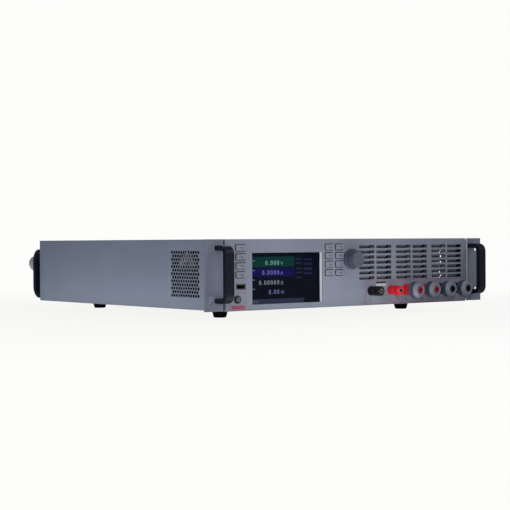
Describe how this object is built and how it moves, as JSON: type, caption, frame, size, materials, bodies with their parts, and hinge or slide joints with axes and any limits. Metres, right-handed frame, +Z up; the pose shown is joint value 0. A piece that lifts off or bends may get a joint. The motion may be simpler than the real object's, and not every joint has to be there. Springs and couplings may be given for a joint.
{
  "type": "dc electronic load",
  "caption": "Rack-width bench dc electronic load with display, keypad, adjusting knob, front vent, sense and load terminals, handles, rubber feet and rear exhaust fans",
  "frame": {"origin": "on the table plane under the middle of the overall box", "axes": "+Z up, front panel faces -Y, +X to the right seen from the front"},
  "size_m": [0.4826, 0.54, 0.1],
  "materials": {
    "case_paint": "blue-grey powder paint",
    "panel_plastic": "blue-grey moulding, fine texture",
    "zinc_steel": "zinc plated",
    "handle_black": "black, satin",
    "foot_rubber": "black rubber",
    "white_plastic": "pale moulding",
    "lens_glass": "clear window",
    "display_black": "dark display",
    "board_green": "green solder mask",
    "key_plastic": "grey keys",
    "knob_plastic": "dark blue-grey",
    "black_plastic": "black moulding",
    "red_plastic": "red moulding",
    "grey_plastic": "grey hand nuts",
    "nickel": "nickel plated brass",
    "copper": "copper",
    "sink_aluminium": "extruded"
  },
  "bodies": {
    "chassis": {"base_tray": "case_paint", "side_panel_left": "case_paint", "side_panel_right": "case_paint", "top_cover": "case_paint", "rear_panel": "case_paint", "front_panel": "panel_plastic", "front_bulkhead": "zinc_steel", "vent_louvre": "panel_plastic", "rack_ear_left": "case_paint", "rack_ear_right": "case_paint", "front_handle_left": "handle_black", "front_handle_right": "handle_black", "rear_handles": "handle_black", "case_screws": "zinc_steel", "rubber_feet": "foot_rubber", "display_frame": "white_plastic", "display_lens": "lens_glass", "display_module": "display_black", "circuit_boards": "board_green", "power_switch": "black_plastic", "encoder": "zinc_steel", "usb_socket": "zinc_steel", "sense_base_black": "black_plastic", "sense_base_red": "red_plastic", "terminal_studs": "nickel", "load_collars_red": "red_plastic", "load_collars_black": "black_plastic", "bus_bars": "copper", "heat_sink": "sink_aluminium", "supply_choke": "copper", "fan_frames": "black_plastic", "fan_guards": "zinc_steel", "ac_inlet": "black_plastic", "rear_sockets": "zinc_steel"},
    "adjust_knob": {"adjust_knob": "knob_plastic", "encoder_shaft": "zinc_steel"},
    "menu_key_1": {"menu_key_1": "key_plastic"},
    "menu_key_2": {"menu_key_2": "key_plastic"},
    "menu_key_3": {"menu_key_3": "key_plastic"},
    "menu_key_4": {"menu_key_4": "key_plastic"},
    "pad_key_1": {"pad_key_1": "key_plastic"},
    "pad_key_2": {"pad_key_2": "key_plastic"},
    "pad_key_3": {"pad_key_3": "key_plastic"},
    "pad_key_4": {"pad_key_4": "key_plastic"},
    "pad_key_5": {"pad_key_5": "key_plastic"},
    "pad_key_6": {"pad_key_6": "key_plastic"},
    "pad_key_7": {"pad_key_7": "key_plastic"},
    "pad_key_8": {"pad_key_8": "key_plastic"},
    "sense_nut_black": {"sense_nut_black": "black_plastic"},
    "sense_nut_red": {"sense_nut_red": "red_plastic"},
    "load_nut_1": {"load_nut_1": "grey_plastic"},
    "load_nut_2": {"load_nut_2": "grey_plastic"},
    "load_nut_3": {"load_nut_3": "grey_plastic"},
    "load_nut_4": {"load_nut_4": "grey_plastic"},
    "fan_rotor_left": {"fan_rotor_left": "black_plastic"},
    "fan_rotor_right": {"fan_rotor_right": "black_plastic"},
    "power_button": {"power_button": "key_plastic"},
    "earth_nut": {"earth_nut": "nickel"},
    "fuse_drawer": {"fuse_drawer": "black_plastic"}
  },
  "joints": [
    {"name": "menu_key_1_press", "type": "slide", "parent": "chassis", "child": "menu_key_1", "axis": [0, 1, 0], "range_m": [0, 0.001], "stiffness_N_per_m": 1500},
    {"name": "menu_key_2_press", "type": "slide", "parent": "chassis", "child": "menu_key_2", "axis": [0, 1, 0], "range_m": [0, 0.001], "stiffness_N_per_m": 1500},
    {"name": "menu_key_3_press", "type": "slide", "parent": "chassis", "child": "menu_key_3", "axis": [0, 1, 0], "range_m": [0, 0.001], "stiffness_N_per_m": 1500},
    {"name": "menu_key_4_press", "type": "slide", "parent": "chassis", "child": "menu_key_4", "axis": [0, 1, 0], "range_m": [0, 0.001], "stiffness_N_per_m": 1500},
    {"name": "pad_key_1_press", "type": "slide", "parent": "chassis", "child": "pad_key_1", "axis": [0, 1, 0], "range_m": [0, 0.001], "stiffness_N_per_m": 1500},
    {"name": "pad_key_2_press", "type": "slide", "parent": "chassis", "child": "pad_key_2", "axis": [0, 1, 0], "range_m": [0, 0.001], "stiffness_N_per_m": 1500},
    {"name": "pad_key_3_press", "type": "slide", "parent": "chassis", "child": "pad_key_3", "axis": [0, 1, 0], "range_m": [0, 0.001], "stiffness_N_per_m": 1500},
    {"name": "pad_key_4_press", "type": "slide", "parent": "chassis", "child": "pad_key_4", "axis": [0, 1, 0], "range_m": [0, 0.001], "stiffness_N_per_m": 1500},
    {"name": "pad_key_5_press", "type": "slide", "parent": "chassis", "child": "pad_key_5", "axis": [0, 1, 0], "range_m": [0, 0.001], "stiffness_N_per_m": 1500},
    {"name": "pad_key_6_press", "type": "slide", "parent": "chassis", "child": "pad_key_6", "axis": [0, 1, 0], "range_m": [0, 0.001], "stiffness_N_per_m": 1500},
    {"name": "pad_key_7_press", "type": "slide", "parent": "chassis", "child": "pad_key_7", "axis": [0, 1, 0], "range_m": [0, 0.001], "stiffness_N_per_m": 1500},
    {"name": "pad_key_8_press", "type": "slide", "parent": "chassis", "child": "pad_key_8", "axis": [0, 1, 0], "range_m": [0, 0.001], "stiffness_N_per_m": 1500},
    {"name": "power_button_press", "type": "slide", "parent": "chassis", "child": "power_button", "axis": [0, 1, 0], "range_m": [0, 0.003], "stiffness_N_per_m": 800},
    {"name": "adjust_knob_turn", "type": "hinge", "parent": "chassis", "child": "adjust_knob", "pos_m": [-0.0058, -0.242, 0.0735], "axis": [0, 1, 0], "continuous": true},
    {"name": "sense_nut_black_turn", "type": "hinge", "parent": "chassis", "child": "sense_nut_black", "pos_m": [0.0295, -0.242, 0.031], "axis": [0, 1, 0], "continuous": true},
    {"name": "sense_nut_red_turn", "type": "hinge", "parent": "chassis", "child": "sense_nut_red", "pos_m": [0.0652, -0.242, 0.031], "axis": [0, 1, 0], "continuous": true},
    {"name": "load_nut_1_turn", "type": "hinge", "parent": "chassis", "child": "load_nut_1", "pos_m": [0.094, -0.242, 0.031], "axis": [0, 1, 0], "continuous": true},
    {"name": "load_nut_2_turn", "type": "hinge", "parent": "chassis", "child": "load_nut_2", "pos_m": [0.125, -0.242, 0.031], "axis": [0, 1, 0], "continuous": true},
    {"name": "load_nut_3_turn", "type": "hinge", "parent": "chassis", "child": "load_nut_3", "pos_m": [0.156, -0.242, 0.031], "axis": [0, 1, 0], "continuous": true},
    {"name": "load_nut_4_turn", "type": "hinge", "parent": "chassis", "child": "load_nut_4", "pos_m": [0.187, -0.242, 0.031], "axis": [0, 1, 0], "continuous": true},
    {"name": "fan_left_spin", "type": "hinge", "parent": "chassis", "child": "fan_rotor_left", "pos_m": [0.062, 0.198, 0.056], "axis": [0, 1, 0], "continuous": true},
    {"name": "fan_right_spin", "type": "hinge", "parent": "chassis", "child": "fan_rotor_right", "pos_m": [0.148, 0.198, 0.056], "axis": [0, 1, 0], "continuous": true},
    {"name": "earth_nut_turn", "type": "hinge", "parent": "chassis", "child": "earth_nut", "pos_m": [-0.192, 0.228, 0.0657], "axis": [0, 1, 0], "continuous": true},
    {"name": "fuse_drawer_slide", "type": "slide", "parent": "chassis", "child": "fuse_drawer", "axis": [0, 1, 0], "range_m": [0, 0.02]}
  ]
}
